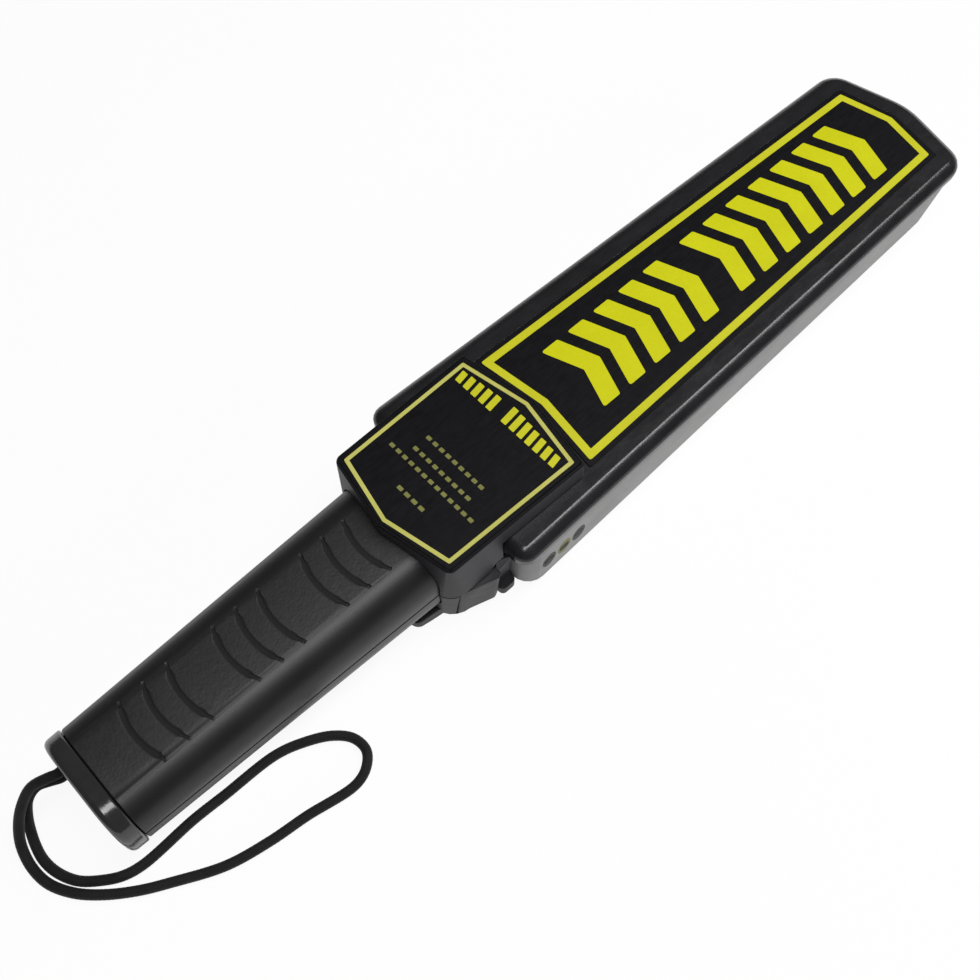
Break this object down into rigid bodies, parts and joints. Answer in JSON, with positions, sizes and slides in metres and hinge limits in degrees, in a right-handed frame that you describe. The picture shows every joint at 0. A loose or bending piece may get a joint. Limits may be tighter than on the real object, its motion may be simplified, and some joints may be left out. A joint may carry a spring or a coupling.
{
  "type": "hand-held metal detector wand",
  "caption": "Search wand with a flat tapered paddle, six-sided neck housing, grooved grip with a battery bay, side push button, slide switch and a cord loop on its end cap.",
  "frame": {"origin": "middle of the wand's bounding box in X and Y, at the level of the surface it lies on, measured without the free cord", "axes": "+X from the end cap towards the paddle's tip, +Y to the left of someone who holds the grip and looks at the labels with the tip ahead, +Z out of the labelled faces"},
  "size_m": [0.4399, 0.0914, 0.0453],
  "materials": {
    "cover_black": "moulded, glossy, lightly pebbled",
    "shell_grey": "moulded, fine matt grain",
    "neck_grey": "moulded, satin",
    "grip_black": "moulded, fine leather-like grain",
    "cap_black": "moulded, semi-gloss",
    "label_black": "printed film with yellow bars and border",
    "button_grey": "moulded, satin",
    "cord_black": "round cord with a woven cover",
    "steel": "plain bright steel",
    "copper_winding": "lacquered copper wire",
    "board_green": "solder-masked laminate",
    "coil_former": "moulded, natural white",
    "dark_part": "moulded, black",
    "battery_skin": "lacquered can",
    "lamp_red": "tinted clear resin",
    "lamp_yellow": "tinted clear resin",
    "lamp_green": "tinted clear resin",
    "window_smoke": "smoked clear plastic"
  },
  "bodies": {
    "wand": {"paddle_shell": "shell_grey", "paddle_cover": "cover_black", "paddle_label": "label_black", "neck_base": "neck_grey", "neck_cover": "neck_grey", "neck_label": "label_black", "handle_lower": "grip_black", "handle_upper": "grip_black", "battery": "battery_skin", "battery_snap": "dark_part", "vibration_motor": "steel", "main_board": "board_green", "button_pin": "steel", "button_spring": "steel", "tact_switch": "dark_part", "slide_switch": "dark_part", "coil_carrier": "coil_former", "transmit_coil": "copper_winding", "receive_coil": "copper_winding", "speaker": "steel", "lamp_window_green": "window_smoke", "lamp_green": "lamp_green", "lamp_window_yellow": "window_smoke", "lamp_yellow": "lamp_yellow", "lamp_window_red": "window_smoke", "lamp_red": "lamp_red", "paddle_screw_1": "steel", "paddle_screw_2": "steel", "paddle_screw_3": "steel", "paddle_screw_4": "steel", "neck_screw_1": "steel", "handle_screw_1": "steel", "neck_screw_2": "steel", "handle_screw_2": "steel"},
    "button": {"scan_button": "button_grey"},
    "plunger": {"tact_plunger": "coil_former"},
    "slider": {"mode_slider": "button_grey"},
    "cap": {"end_cap": "cap_black", "strap_knot": "cord_black", "wrist_strap": "cord_black"},
    "weight": {"eccentric_weight": "steel"}
  },
  "joints": [
    {"name": "button_press", "type": "hinge", "parent": "wand", "child": "button", "pos_m": [-0.0714, -0.02545, 0.0125], "axis": [0, 0, 1], "range_deg": [0, 5.5], "stiffness_Nm_per_rad": 0.15, "deforming": ["button_spring"]},
    {"name": "plunger_slide", "type": "slide", "parent": "wand", "child": "plunger", "axis": [0, 1, 0], "range_m": [0, 0.00095]},
    {"name": "mode_slide", "type": "slide", "parent": "wand", "child": "slider", "axis": [1, 0, 0], "range_m": [-0.003, 0.003]},
    {"name": "cap_pull", "type": "slide", "parent": "wand", "child": "cap", "axis": [-1, 0, 0], "range_m": [0, 0.03]},
    {"name": "weight_spin", "type": "hinge", "parent": "wand", "child": "weight", "pos_m": [-0.0961, 0, 0.0225], "axis": [1, 0, 0], "continuous": true}
  ],
  "couplings": [
    {"joint": "plunger_slide", "follows": "button_press", "m_per_rad": 0.0093}
  ]
}
